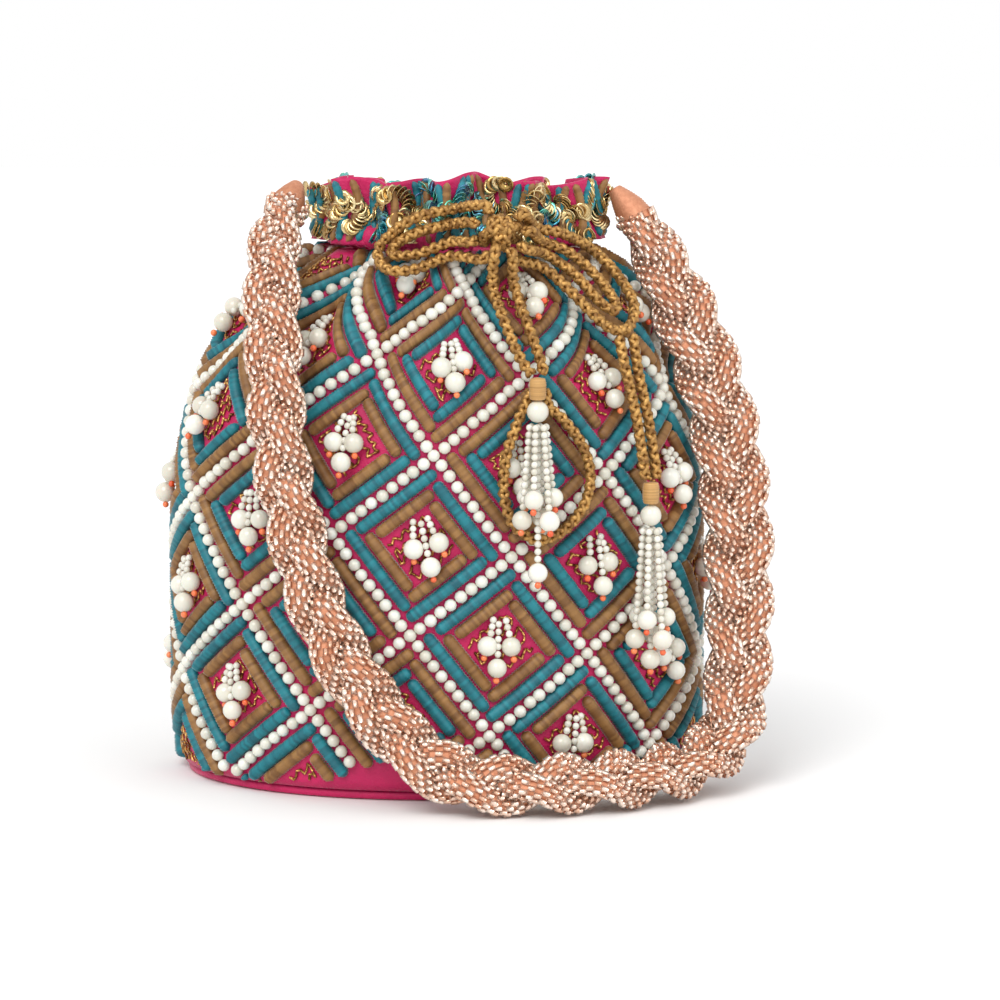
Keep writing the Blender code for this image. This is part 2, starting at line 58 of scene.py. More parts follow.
class Wire:
    """One node's output. Python's operators on it add Math nodes."""

    def __init__(self, paint, socket):
        self.paint, self.socket = paint, socket

    def math(self, operation, *values):
        return self.paint.node("ShaderNodeMath", {"operation": operation}, dict(enumerate(values)))

    def __add__(self, other):
        return self.math("ADD", self, other)

    def __mul__(self, other):
        return self.math("MULTIPLY", self, other)

    def __sub__(self, other):
        return self.math("SUBTRACT", self, other)

    def __rsub__(self, other):
        return self.math("SUBTRACT", other, self)

    __radd__, __rmul__ = __add__, __mul__


class Paint:
    """A material under construction, whose constants are set on the shader's own sockets."""

    def __init__(self, name, **constants):
        self.material = bpy.data.materials.new(name)
        self.material.use_nodes = True
        self.tree = self.material.node_tree
        self.shader = self.tree.nodes["Principled BSDF"]
        for socket, value in constants.items():
            self.shader.inputs[socket.replace("_", " ")].default_value = value

    def node(self, kind, settings=(), inputs=(), output=0):
        made = self.tree.nodes.new(kind)
        for name, value in dict(settings).items():
            setattr(made, name, value)
        for key, value in dict(inputs).items():
            if isinstance(value, Wire):
                self.tree.links.new(value.socket, made.inputs[key])
            else:
                made.inputs[key].default_value = value
        return Wire(self, made.outputs[output])

    def between(self, share, low, high):
        """A colour between two, by a share."""
        return self.node("ShaderNodeMix", {"data_type": "RGBA"}, {0: share, 6: low, 7: high}, 2)

    def place(self):
        return self.node("ShaderNodeTexCoord", output=3)

    def noise(self, scale, detail=2.0, where=None):
        inputs = {"Vector": where or self.place(), "Scale": scale, "Detail": detail}
        return self.node("ShaderNodeTexNoise", inputs=inputs)

    def value(self, name):
        """A number that the piece's own mesh holds at each point."""
        return self.node("ShaderNodeAttribute", {"attribute_name": name}, output=2)

    def feed(self, socket, wire):
        self.tree.links.new(wire.socket, self.shader.inputs[socket])

    def bump(self, height, distance, strength=1.0):
        inputs = {"Height": height, "Distance": distance, "Strength": strength}
        self.feed("Normal", self.node("ShaderNodeBump", inputs=inputs))


def screen(*levels):
    """The linear colour of three screen levels from 0 to 255."""
    share = np.array(levels) / 255
    linear = np.where(share <= 0.04045, share / 12.92, ((share + 0.055) / 1.055) ** 2.4)
    return (*linear.tolist(), 1.0)


FLOOR_HALF = 3.0
floor_paint = Paint("pale_floor", Base_Color=screen(246, 246, 246), Roughness=0.9)
bpy.ops.mesh.primitive_plane_add(size=2 * FLOOR_HALF)
floor = bpy.context.object
floor.name = "floor"
floor.data.materials.append(floor_paint.material)

SKY_LIGHT = 0.85
world = bpy.data.worlds.new("studio")
bpy.context.scene.world = world
world.use_nodes = True
sky = world.node_tree.nodes["Background"]
sky.inputs["Color"].default_value = (1, 1, 1, 1)
rays = world.node_tree.nodes.new("ShaderNodeLightPath")
shown = rays.outputs["Is Camera Ray"]
for kind in ("Is Glossy Ray", "Is Transmission Ray"):
    either = world.node_tree.nodes.new("ShaderNodeMath")
    either.operation = "MAXIMUM"
    world.node_tree.links.new(shown, either.inputs[0])
    world.node_tree.links.new(rays.outputs[kind], either.inputs[1])
    shown = either.outputs[0]
level = world.node_tree.nodes.new("ShaderNodeMath")
level.operation = "MULTIPLY_ADD"
level.inputs[1].default_value = 1 - SKY_LIGHT
level.inputs[2].default_value = SKY_LIGHT
world.node_tree.links.new(shown, level.inputs[0])
world.node_tree.links.new(level.outputs[0], sky.inputs["Strength"])

for name, towards, strength, spread in (("key", (0.35, 0.8, -0.85), 1.5, 35), ("rim", (-0.6, 0.5, -0.5), 0.5, 35)):
    lamp = bpy.data.lights.new(name, "SUN")
    lamp.energy = strength
    lamp.angle = math.radians(spread)
    held = bpy.data.objects.new(name, lamp)
    held.rotation_euler = Vector(towards).to_track_quat("-Z", "Y").to_euler()
    bpy.context.scene.collection.objects.link(held)

# The pouch's cloth.
# Magenta satin, cut as one strip, sewn round the oval floor and gathered by folds into the neck. A place on
# it is (u, v): u is the way round, 0 at the front, and v is the way up from the foot.
BODY_HALF_WIDTH = 82.5 * MM
BODY_HALF_DEPTH = 60 * MM
NECK_HALF_WIDTH = 39 * MM
NECK_HALF_DEPTH = 31 * MM
NECK_LEAN = 7 * MM
FULL_HEIGHT = 60 * MM
NECK_HEIGHT = 168 * MM
SHOULDER_POWER = 3.3
FOOT_TUCK = 2 * MM
FOOT_TUCK_HEIGHT = 25 * MM
WALL_FOOT = 3.35 * MM
FOLD_COUNT = 12
FOLD_DEPTH = 5 * MM
FOLDS_START = 100 * MM


def shoulder(z):
    """0 up to the fullest height, then a power curve to 1 at the neck."""
    return np.clip((z - FULL_HEIGHT) / (NECK_HEIGHT - FULL_HEIGHT), 0, None) ** SHOULDER_POWER


def half_sizes(z):
    """The oval's two half sizes at a height."""
    tuck = FOOT_TUCK * np.clip(1 - z / FOOT_TUCK_HEIGHT, 0, 1) ** 2
    share = shoulder(z)
    wide = BODY_HALF_WIDTH + (NECK_HALF_WIDTH - BODY_HALF_WIDTH) * share - tuck
    deep = BODY_HALF_DEPTH + (NECK_HALF_DEPTH - BODY_HALF_DEPTH) * share - tuck
    return wide, deep


HEIGHTS = np.linspace(WALL_FOOT, NECK_HEIGHT, 600)
MEAN_RADII = sum(half_sizes(HEIGHTS)) / 2
CLIMB = np.concatenate([[0], np.cumsum(np.hypot(np.diff(HEIGHTS), np.diff(MEAN_RADII)))])
CLOTH_HEIGHT = CLIMB[-1]
RADIUS_SLOPE = np.gradient(MEAN_RADII, CLIMB)
HEIGHT_SLOPE = np.gradient(HEIGHTS, CLIMB)
ANGLES = np.linspace(-math.pi, math.pi, 1441)
ARCS = np.hypot(BODY_HALF_WIDTH * np.cos(ANGLES), BODY_HALF_DEPTH * np.sin(ANGLES))
ROUND = np.concatenate([[0], np.cumsum((ARCS[1:] + ARCS[:-1]) / 2 * np.diff(ANGLES))])
GIRTH = ROUND[-1]


def angle_of(u):
    """The oval's angle for a length round the cloth."""
    turns = np.floor(u / GIRTH + 0.5)
    return np.interp(u - turns * GIRTH, ROUND - GIRTH / 2, ANGLES) + 2 * math.pi * turns


def fold_wave(angle):
    """A cosine of the angle, +1 on a fold and -1 in a crease, a little uneven."""
    return np.cos(FOLD_COUNT * (angle + 0.05 * np.sin(3 * angle + 1) + 0.03 * np.sin(5 * angle + 2)))


def fold_depth(z):
    rise = np.clip((z - FOLDS_START) / (NECK_HEIGHT - FOLDS_START), 0, 1)
    return FOLD_DEPTH * rise * rise * (3 - 2 * rise)


def oval_point(angle, z, out, up=0.0):
    """A point out from the oval along its normal, at a height."""
    wide, deep = half_sizes(z)
    nx, ny = np.sin(angle) / wide, -np.cos(angle) / deep
    length = np.hypot(nx, ny)
    x = NECK_LEAN * shoulder(z) + wide * np.sin(angle) + out * nx / length
    y = -deep * np.cos(angle) + out * ny / length
    return np.stack(np.broadcast_arrays(x, y, z + up), axis=-1)


def cloth_point(u, v, lift):
    """The oval's point at (u, v), moved by the gathers and lifted along the cloth's slope."""
    angle, z = angle_of(u), np.interp(v, CLIMB, HEIGHTS)
    out = lift * np.interp(v, CLIMB, HEIGHT_SLOPE) + fold_depth(z) * fold_wave(angle)
    return oval_point(angle, z, out, -lift * np.interp(v, CLIMB, RADIUS_SLOPE))


def unit(vectors):
    return vectors / np.linalg.norm(vectors, axis=-1, keepdims=True)


def cloth_axes(u, v, lift=0.0):
    """At each (u, v), the cloth's directions along u and v and its outward normal, as columns."""
    step = 0.3 * MM
    right = unit(cloth_point(u + step, v, lift) - cloth_point(u - step, v, lift))
    up = unit(cloth_point(u, v + step, lift) - cloth_point(u, v - step, lift))
    out = unit(np.cross(right, up))
    return np.stack([right, np.cross(out, right), out], axis=-1)


def grid_faces(rows, columns, closed_rows=False, closed_columns=False):
    """Triangles of a grid of points that is stored row by row."""
    r = np.arange(rows - (not closed_rows))
    c = np.arange(columns - (not closed_columns))
    r, c = np.meshgrid(r, c, indexing="ij")
    r1, c1 = (r + 1) % rows, (c + 1) % columns
    a, b, d, e = r * columns + c, r * columns + c1, r1 * columns + c1, r1 * columns + c
    return np.stack([a, b, d, a, d, e], axis=-1).reshape(-1, 3)


def add_piece(name, points, faces, paint, slot, *nodes, smooth=True, **layers):
    """A mesh object of triangles that rides on the bag and stands for CAD nodes. layers are numbers at points."""
    mesh = bpy.data.meshes.new(name)
    points, faces = points.reshape(-1, 3), faces.astype(np.int32)
    mesh.vertices.add(len(points))
    mesh.vertices.foreach_set("co", points.astype(np.float32).ravel())
    mesh.loops.add(faces.size)
    mesh.loops.foreach_set("vertex_index", faces.ravel())
    mesh.polygons.add(len(faces))
    mesh.polygons.foreach_set("loop_start", np.arange(0, faces.size, 3, dtype=np.int32))
    for layer, values in layers.items():
        kept = mesh.attributes.new(layer, "FLOAT", "POINT")
        kept.data.foreach_set("value", np.broadcast_to(values, points.shape[0]).astype(np.float32).ravel())
    mesh.update(calc_edges=True)
    if smooth:
        mesh.shade_smooth()
    mesh.materials.append(paint.material)
    made = bpy.data.objects.new(name, mesh)
    bpy.context.scene.collection.objects.link(made)
    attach(made, "root")
    if nodes:
        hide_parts(*nodes)
    return made


MAGENTA = screen(214, 8, 96)
DEEP_MAGENTA = screen(168, 4, 74)
satin = Paint("magenta_satin", Roughness=0.55, Sheen_Weight=0.25, Sheen_Roughness=0.4)
satin.feed("Base Color", satin.between(satin.noise(60, 4), DEEP_MAGENTA, MAGENTA))
satin.bump(satin.noise(1800, 2) + satin.noise(260, 3) * 2.0, 0.25 * MM)

SATIN_COLUMNS = 264
SATIN_ROWS = 62
SATIN_WALL = 0.7 * MM


def shell(rows_out, rows_in):
    """A tube-like wall: rows of points up the outside and down the inside, as one closed grid."""
    grid = np.concatenate([rows_out, rows_in[::-1]])
    return grid, grid_faces(len(grid), grid.shape[1], closed_rows=True, closed_columns=True)


u, v = np.meshgrid(
    np.linspace(-GIRTH / 2, GIRTH / 2, SATIN_COLUMNS, endpoint=False),
    CLOTH_HEIGHT * np.linspace(0, 1, SATIN_ROWS),
)
points, faces = shell(cloth_point(u, v, 0.3 * MM), cloth_point(u, v, 0.3 * MM - SATIN_WALL))
panel = add_piece("satin_pouch", points, faces, satin, "embroidery", "embroidered_panel")

# The lattice of single pearls.
# Small glass pearls sewn one after another on the lines of a square lattice that stands on its points. Nine
# cells one way and seven the other close it round the pouch, and at the front foot it ends in bare satin.
STEPS_UP, STEPS_DOWN = 9, 7
CELL_CENTRE = np.array([-4, 77]) * MM
CELL = GIRTH / math.hypot(STEPS_UP, STEPS_DOWN)
TILT = math.atan2(STEPS_DOWN, STEPS_UP)
STEP_UP = np.array([math.cos(TILT), math.sin(TILT)]) * CELL
STEP_DOWN = np.array([math.sin(TILT), -math.cos(TILT)]) * CELL
CELL_ZERO = CELL_CENTRE - (STEP_UP + STEP_DOWN) / 2
PEARL_RADIUS = 2.05 * MM
PEARLS_A_SIDE = 10
BARE_HEIGHT = 11 * MM
BARE_MIDDLE = -7 * MM
BARE_LEFT, BARE_RIGHT = 22 * MM, 18 * MM


def cell_place(i, j):
    """The (u, v) of lattice place i steps down and j steps up."""
    i, j = np.broadcast_arrays(i, j)
    return CELL_ZERO + i[..., None] * STEP_DOWN + j[..., None] * STEP_UP


def work_margin(u, v):
    """How far a place is inside the embroidered stretch, from its nearer edge."""
    side = np.where(u < BARE_MIDDLE, BARE_LEFT, BARE_RIGHT)
    foot = BARE_HEIGHT * np.exp(-(((u - BARE_MIDDLE) / side) ** 2))
    return np.minimum(v - foot, CLOTH_HEIGHT - 1 * MM - v)


def ball(rings, around):
    """A unit ball: rings of points between two poles, the angle down and the angle round its parameters."""
    down = np.linspace(0, math.pi, rings + 1)[1:-1, None]
    turn = np.linspace(0, 2 * math.pi, around, endpoint=False)[None]
    middle = np.stack([np.sin(down) * np.cos(turn), np.sin(down) * np.sin(turn), np.cos(down) + 0 * turn], -1)
    points = np.concatenate([middle.reshape(-1, 3), [[0, 0, 1], [0, 0, -1]]])
    sides = grid_faces(rings - 1, around, closed_columns=True)[:, ::-1]
    k = np.arange(around)
    top, last = len(points) - 2, (rings - 2) * around
    cap = np.stack([np.full(around, top), k, (k + 1) % around], -1)
    foot = np.stack([np.full(around, top + 1), last + (k + 1) % around, last + k], -1)
    return points, np.concatenate([sides, cap, foot])


def stamped(template, places, turns=None, sizes=1.0):
    """Copies of a template at many places: sizes times the template, turned by each frame's columns."""
    points, faces = template
    sizes = np.broadcast_to(np.asarray(sizes, float), (len(places), 3) if np.ndim(sizes) == 2 else (len(places),))
    local = points[None] * (sizes[:, None] if sizes.ndim == 2 else sizes[:, None, None])
    if turns is not None:
        local = np.einsum("nij,nvj->nvi", turns, local)
    count = np.arange(len(places))[:, None, None] * len(points)
    return (local + places[:, None]).reshape(-1, 3), (faces[None] + count).reshape(-1, 3)


draw = np.random.default_rng(11)
PEARL_LIGHT = screen(240, 236, 224)
PEARL_DARK = screen(214, 206, 190)
pearl = Paint("pearl", Roughness=0.22, Coat_Weight=0.5, Coat_Roughness=0.12, Subsurface_Weight=0.1)
pearl.feed("Base Color", pearl.between(pearl.value("shade"), PEARL_DARK, PEARL_LIGHT))

span = np.arange(-9, 19)
i, j = (line.ravel() for line in np.meshgrid(span, span, indexing="ij"))
share = np.arange(PEARLS_A_SIDE) / PEARLS_A_SIDE
places = np.concatenate(
    [
        cell_place(i[:, None] + 0 * share, j[:, None] + share).reshape(-1, 2),
        cell_place(i[:, None] + share[1:], j[:, None] + 0 * share[1:]).reshape(-1, 2),
    ]
)
inside = (places[:, 0] >= -GIRTH / 2) & (places[:, 0] < GIRTH / 2)
places = places[inside & (work_margin(places[:, 0], places[:, 1]) > PEARL_RADIUS)]
places = places + draw.normal(0, 0.12 * MM, places.shape)
centres = cloth_point(places[:, 0], places[:, 1], 1.5 * MM)
template = ball(6, 10)
points, faces = stamped(template, centres, cloth_axes(*places.T), PEARL_RADIUS * draw.uniform(0.96, 1.02, len(centres)))
shade = np.repeat(draw.uniform(0, 1, len(centres)), len(template[0]))
add_piece("lattice_pearls", points, faces, pearl, "pearl", shade=shade)

# The wrapped cords.
# Padding cord wound closely with silk thread, laid as two square rings inside each cell of the lattice. The
# colours change places from row to row: teal outside and brown inside, then brown outside and teal inside.
CORD_RADIUS = 2.15 * MM
WRAP_PITCH = 0.95 * MM
WRAP_DEPTH = 0.13
RING_INSETS = (4.35 * MM, 8.75 * MM)
PROFILE = np.radians([0, 38, 90, 142, 180, 270])

cells_i, cells_j = (line.ravel() for line in np.meshgrid(span, span, indexing="ij"))
centre = cell_place(cells_i + 0.5, cells_j + 0.5)
kept = (centre[:, 0] >= -GIRTH / 2) & (centre[:, 0] < GIRTH / 2)
kept &= (centre[:, 1] > -CELL) & (centre[:, 1] < CLOTH_HEIGHT + CELL)
cells_i, cells_j, centre = cells_i[kept], cells_j[kept], centre[kept]


def wound_cords(mid, along, half):
    """Cords on the cloth: a rounded section with one ridge a wrap, carried along a straight line on (u, v).

    mid is each cord's middle, along its direction and half its half length. The section closes at both ends
    and where the embroidery stops.
    """
    rings = 2 * math.ceil(2 * half / WRAP_PITCH) + 1
    t = np.linspace(-half, half, rings)
    line = mid[:, None] + along[:, None] * t[None, :, None]
    margin = work_margin(line[..., 0], line[..., 1])
    end = np.clip((half - np.abs(t)) / CORD_RADIUS, 0, 1)
    edge = np.clip(margin / CORD_RADIUS, 0, 1)
    full = np.sqrt(1 - (1 - end[None] * np.ones_like(edge)) ** 2) * np.sqrt(1 - (1 - edge) ** 2)
    ridge = 1 - WRAP_DEPTH * (np.arange(rings) % 2) + draw.normal(0, 0.02, full.shape)
    radius = CORD_RADIUS * np.maximum(full * ridge, 1e-3)
    across = np.stack([-along[:, 1], along[:, 0]], -1)
    side = radius[..., None] * np.cos(PROFILE)
    rise = radius[..., None] * np.sin(PROFILE) * np.where(PROFILE > math.pi, 0.4, 1.45)
    where = line[:, :, None] + across[:, None, None] * side[..., None]
    points = cloth_point(where[..., 0], where[..., 1], rise + 0.2 * MM)
    section = len(PROFILE)
    faces = grid_faces(rings, section, closed_columns=True)
    live = full > 0.02
    live = live[:, :-1] | live[:, 1:]
    faces = faces.reshape(rings - 1, -1, 3)
    offset = np.arange(len(mid))[:, None, None, None] * rings * section
    every = (faces[None] + offset)[live].reshape(-1, 3)
    wrap = np.repeat(draw.uniform(0, 1, (len(mid), rings // 2 + 1)), 2, axis=1)[:, :rings]
    shade = np.repeat(wrap[..., None], section, axis=2)
    return points.reshape(-1, 3), every, shade.ravel()


def thread(name, low, high):
    """Silk thread: a colour that changes a little from wrap to wrap, and fine fibres."""
    paint = Paint(name, Roughness=0.5, Sheen_Weight=0.35, Sheen_Roughness=0.35)
    paint.feed("Base Color", paint.between(paint.value("shade") * 0.75 + paint.noise(900, 1) * 0.25, low, high))
    paint.bump(paint.noise(5200, 2), 0.08 * MM, 0.6)
    return paint


TEAL = (screen(4, 84, 98), screen(24, 136, 148))
BROWN = (screen(112, 72, 34), screen(164, 120, 66))
wound = {"teal": thread("teal_silk", *TEAL), "brown": thread("brown_silk", *BROWN)}
gathered = {"teal": [], "brown": []}
DIRECTIONS = [unit(STEP_DOWN), unit(STEP_UP), -unit(STEP_DOWN), -unit(STEP_UP)]
for ring, inset in enumerate(RING_INSETS):
    reach = CELL / 2 - inset
    for k, along in enumerate(DIRECTIONS):
        outward = DIRECTIONS[k - 1]
        for colour in ("teal", "brown"):
            chosen = (cells_j % 2 == 0) == ((colour == "teal") == (ring == 0))
            mid = centre[chosen] + outward * reach - along * CORD_RADIUS
            mid = mid + draw.normal(0, 0.15 * MM, mid.shape)
            gathered[colour].append(wound_cords(mid, np.broadcast_to(along, mid.shape), reach))


def joined(parts):
    """Several (points, faces, values...) made one."""
    counts = np.cumsum([0] + [len(part[0]) for part in parts])
    faces = np.concatenate([part[1] + n for part, n in zip(parts, counts)])
    rest = [np.concatenate([part[k] for part in parts]) for k in range(2, len(parts[0]))]
    return [np.concatenate([part[0] for part in parts]), faces, *rest]


def without_loose(points, faces, values):
    """The same mesh without the points that no face uses."""
    used, index = np.unique(faces, return_inverse=True)
    return points[used], index.reshape(faces.shape), values[used]


for colour, parts in gathered.items():
    points, faces, shade = without_loose(*joined(parts))
    add_piece(f"{colour}_wrapped_cords", points, faces, wound[colour], "embroidery", shade=shade)

# The cells' middles.
# Each cell's middle square is satin scribbled over with short brass bugle beads, under a cluster of three
# pearls that hang on strings of seed beads and end in orange stop beads.
BUGLE_LENGTH, BUGLE_RADIUS = 1.9 * MM, 0.42 * MM
BUGLES_A_CELL = 76
SCRIBBLE_ROWS = 5
SCRIBBLE_HALF = 7.6 * MM
CLUSTER_RADIUS = 3.15 * MM
SEED_RADIUS = 1.15 * MM
STOP_RADIUS = 1.05 * MM


def rod(sides):
    """A unit rod along X, as a bugle bead is: a cut glass tube, of flat sides."""
    turn = np.linspace(0, 2 * math.pi, sides, endpoint=False) + math.pi / 2
    ring = np.stack([np.zeros(sides), np.cos(turn), np.sin(turn)], -1)
    points = np.concatenate([ring - [0.5, 0, 0], ring + [0.5, 0, 0]])
    k = np.arange(1, sides - 1)
    first = np.stack([0 * k, k + 1, k], -1)
    last = np.stack([0 * k, k, k + 1], -1) + sides
    return points, np.concatenate([grid_faces(2, sides, closed_columns=True)[:, ::-1], first, last])


def scribble(seed):
    """One line that fills a square to and fro in loose waves, as places and headings a bugle apart."""
    loose = np.random.default_rng(seed)
    runs = []
    for k, row in enumerate(np.linspace(-1, 1, SCRIBBLE_ROWS) * (SCRIBBLE_HALF - 1.1 * MM)):
        x = np.linspace(-1, 1, 120) * SCRIBBLE_HALF
        wave = 1.15 * MM * np.sin(2 * math.pi * x / loose.uniform(3.2 * MM, 4.4 * MM) + loose.uniform(0, 6.3))
        sway = 0.8 * MM * np.sin(2 * math.pi * x / (9 * MM) + loose.uniform(0, 6.3))
        run = np.stack([x + 0.5 * wave, row + wave + 0.4 * sway], -1)
        runs.append(run if k % 2 else run[::-1])
    path = np.concatenate(runs)
    along = np.concatenate([[0], np.cumsum(np.linalg.norm(np.diff(path, axis=0), axis=1))])
    stops = np.linspace(0, along[-1], BUGLES_A_CELL + 1)
    path = np.stack([np.interp(stops, along, path[:, k]) for k in (0, 1)], -1)
    step = np.diff(path, axis=0)
    return np.concatenate([(path[1:] + path[:-1]) / 2, np.arctan2(step[:, 1:], step[:, :1])], axis=1)


brass = Paint("brass_bugles", Metallic=0.85, Roughness=0.28)
brass.feed("Base Color", brass.between(brass.value("shade"), screen(120, 74, 30), screen(226, 176, 104)))
scribbles = np.array([scribble(seed) for seed in range(5)])
chosen = scribbles[np.arange(len(centre)) % 5]
quarter = draw.integers(0, 4, len(centre)) * math.pi / 2 + TILT
c, s = np.cos(quarter)[:, None], np.sin(quarter)[:, None]
local_u = chosen[..., 0] * c - chosen[..., 1] * s
local_v = chosen[..., 0] * s + chosen[..., 1] * c
uv = (centre[:, None] + np.stack([local_u, local_v], -1)).reshape(-1, 2)
heading = (chosen[..., 2] + quarter[:, None]).ravel()
live = work_margin(*uv.T) > BUGLE_LENGTH
uv, heading = uv[live], heading[live]
axes = cloth_axes(*uv.T)
lead = axes[..., 0] * np.cos(heading)[:, None] + axes[..., 1] * np.sin(heading)[:, None]
turns = np.stack([lead, np.cross(axes[..., 2], lead), axes[..., 2]], -1)
template = rod(5)
sizes = np.array([[BUGLE_LENGTH * 0.9, BUGLE_RADIUS, BUGLE_RADIUS]]).repeat(len(uv), 0)
points, faces = stamped(template, cloth_point(*uv.T, 0.75 * MM), turns, sizes)
shade = np.repeat(draw.uniform(0, 1, len(uv)), len(template[0]))
add_piece("brass_bugle_scribbles", points, faces, brass, "embroidery", smooth=False, shade=shade)

# Each string of a cluster, on its cell's cloth: where it starts, where its pearl hangs and how many seed
# beads it has.
STRINGS = (((-2.2, 8.6), (-3.5, -0.4), 3), ((1.2, 8.8), (3.5, 0.2), 3), ((-0.4, 8.4), (0.2, -6.0), 5))
live = work_margin(centre[:, 0], centre[:, 1] - 6 * MM) > 4 * MM
live &= work_margin(centre[:, 0], centre[:, 1] + 8 * MM) > 2 * MM
hosts = centre[live]
swing = draw.normal(0, 0.16, len(hosts))
seeds, pearls, stops = [], [], []
for start, end, count in STRINGS:
    start, end = np.array(start) * MM, np.array(end) * MM
    reach = end - start
    turned = np.stack([reach[0] * np.cos(swing) - reach[1] * np.sin(swing), reach[0] * np.sin(swing) + reach[1] * np.cos(swing)], -1)
    first = hosts + start + draw.normal(0, 0.3 * MM, hosts.shape)
    last = first + turned
    lie = 3.5 * MM + (1.4 * MM if count == 5 else 0)
    pearls.append(cloth_point(*last.T, lie))
    down = unit(turned)
    below = last + down * (CLUSTER_RADIUS + STOP_RADIUS * 0.7)
    stops.append(cloth_point(*below.T, lie + draw.uniform(-0.4, 1.2, len(hosts)) * MM))
    length = np.linalg.norm(turned, axis=1) - CLUSTER_RADIUS
    for k in range(count):
        share = ((k + 0.5) / count) * length / np.linalg.norm(turned, axis=1)
        at = first + turned * share[:, None]
        arch = (1.4 + 2.6 * (k + 0.5) / count + (0.8 if count == 5 else 0)) * MM
        seeds.append(cloth_point(*at.T, arch))
pearls, seeds, stops = np.concatenate(pearls), np.concatenate(seeds), np.concatenate(stops)


def beads(name, centres, radius, template, paint, slot, *nodes):
    """Balls at places, each a little larger or smaller and lighter or darker than the next."""
    sizes = radius * draw.uniform(0.95, 1.04, len(centres))
    points, faces = stamped(template, centres, None, sizes)
    shade = np.repeat(draw.uniform(0, 1, len(centres)), len(template[0]))
    return add_piece(name, points, faces, paint, slot, *nodes, shade=shade)


orange = Paint("orange_stop_beads", Roughness=0.25, Coat_Weight=0.4, Coat_Roughness=0.1)
orange.feed("Base Color", orange.between(orange.value("shade"), screen(228, 84, 36), screen(252, 140, 84)))
beads("cluster_pearls", pearls, CLUSTER_RADIUS, ball(9, 14), pearl, "pearl")
beads("cluster_seed_beads", seeds, SEED_RADIUS, ball(5, 7), pearl, "pearl")
beads("cluster_stop_beads", stops, STOP_RADIUS, ball(5, 8), orange, "pearl")

# The lining, the floor and the channel.
# A plain satin lining hangs inside, a board under satin makes the oval floor, and a narrow gathered channel
# under the frill holds the drawstring.
LINING_COLUMNS, LINING_ROWS = 96, 26
angle, z = np.meshgrid(
    np.linspace(-math.pi, math.pi, LINING_COLUMNS, endpoint=False), np.linspace(4.3, 165.5, LINING_ROWS) * MM
)
room = 4.4 * MM + 1.6 * fold_depth(z)
ripple = 0.5 * MM * np.sin(9 * angle + z * 60) * shoulder(z)
points, faces = shell(oval_point(angle, z, ripple - room), oval_point(angle, z, ripple - room - 0.7 * MM))
lining = add_piece("satin_lining", points, faces, satin, "magenta", "lining")

FLOOR_ROWS = [(0.0, 0.0), (0.97, 0.0), (1.0, 0.6), (1.0, 2.4), (0.985, 3.0), (0.0, 3.0)]
turn = np.linspace(-math.pi, math.pi, 120, endpoint=False)
rows = [
    np.stack([share * 80 * MM * np.sin(turn), -share * 57.5 * MM * np.cos(turn), 0 * turn + height * MM], -1)
    for share, height in FLOOR_ROWS[1:-1]
]
rows = np.array([rows[0] * [0.001, 0.001, 1], *rows, rows[-1] * [0.001, 0.001, 1]])
points, faces = rows, grid_faces(len(rows), len(turn), closed_columns=True)
add_piece("floor_board_in_satin", points, faces, satin, "magenta", "base_panel")

CHANNEL_RADIUS = 3.6 * MM
CHANNEL_HEIGHT = NECK_HEIGHT + 4.4 * MM
MOUTH, MOUTH_HALF = math.radians(19), math.radians(12)


def around_line(line, flat, profile):
    """Sections carried along a line. profile is (rows, columns, 2): across and along each row's flat direction."""
    ahead = unit(np.gradient(line, axis=0))
    flat = unit(flat - ahead * (flat * ahead).sum(-1, keepdims=True))
    side = np.cross(flat, ahead)
    return line[:, None] + side[:, None] * profile[..., :1] + flat[:, None] * profile[..., 1:]


CHANNEL_ROWS = 320
angle = np.linspace(MOUTH + MOUTH_HALF, 2 * math.pi + MOUTH - MOUTH_HALF, CHANNEL_ROWS)
line = oval_point(angle, np.full(CHANNEL_ROWS, NECK_HEIGHT), 0.0)
line[:, 2] = CHANNEL_HEIGHT
turn = np.linspace(0, 2 * math.pi, 14, endpoint=False)
pucker = 1 - 0.10 * np.cos(70 * angle + 3 * np.sin(4 * angle))
outer = np.stack([np.cos(turn), np.sin(turn)], -1)[None] * (CHANNEL_RADIUS * pucker)[:, None, None]
upright = np.broadcast_to([0.0, 0.0, 1.0], line.shape)
grid = np.concatenate([around_line(line, upright, outer), around_line(line, upright, outer * 0.8)[::-1]])
faces = grid_faces(len(grid), 14, closed_rows=True, closed_columns=True)[:, ::-1]
channel = add_piece("gathered_channel", grid, faces, satin, "magenta", "drawstring_channel")

# The frill.
# The satin stands up above the channel in stiff folds. It is worked with curls of overlapping sequins, gold
# at the sides and sea-green in the middle, between short rows of teal and brown silk.
FRILL_FOOT = NECK_HEIGHT + 2 * MM
FRILL_TOP = 191 * MM
BACK_DROOP = 6 * MM
FRILL_FLARE = 2.5 * MM
FRILL_COLUMNS, FRILL_ROWS = 420, 16


def frill_point(angle, share, out):
    """The frill's face: folds that deepen towards its edge, flared outwards, with an uneven top."""
    deep = FOLD_DEPTH * (0.45 + 0.7 * share)
    crumple = 0.7 * MM * share * np.sin(29 * angle + 5 * share) + 0.5 * MM * np.sin(47 * angle + 9 * share)
    over = 5.2 * MM * (1 - share) ** 2
    away = over + FRILL_FLARE * share**2 + deep * fold_wave(angle) + crumple + out
    place = oval_point(angle, np.full_like(angle + share, NECK_HEIGHT), away)
    uneven = (1.3 * np.sin(5 * angle + 1) + 0.9 * np.sin(13 * angle)) * MM * share**2
    uneven -= BACK_DROOP * share * (1 - np.cos(angle)) / 2
    place[..., 2] = FRILL_FOOT + (FRILL_TOP - FRILL_FOOT) * share + uneven
    return place


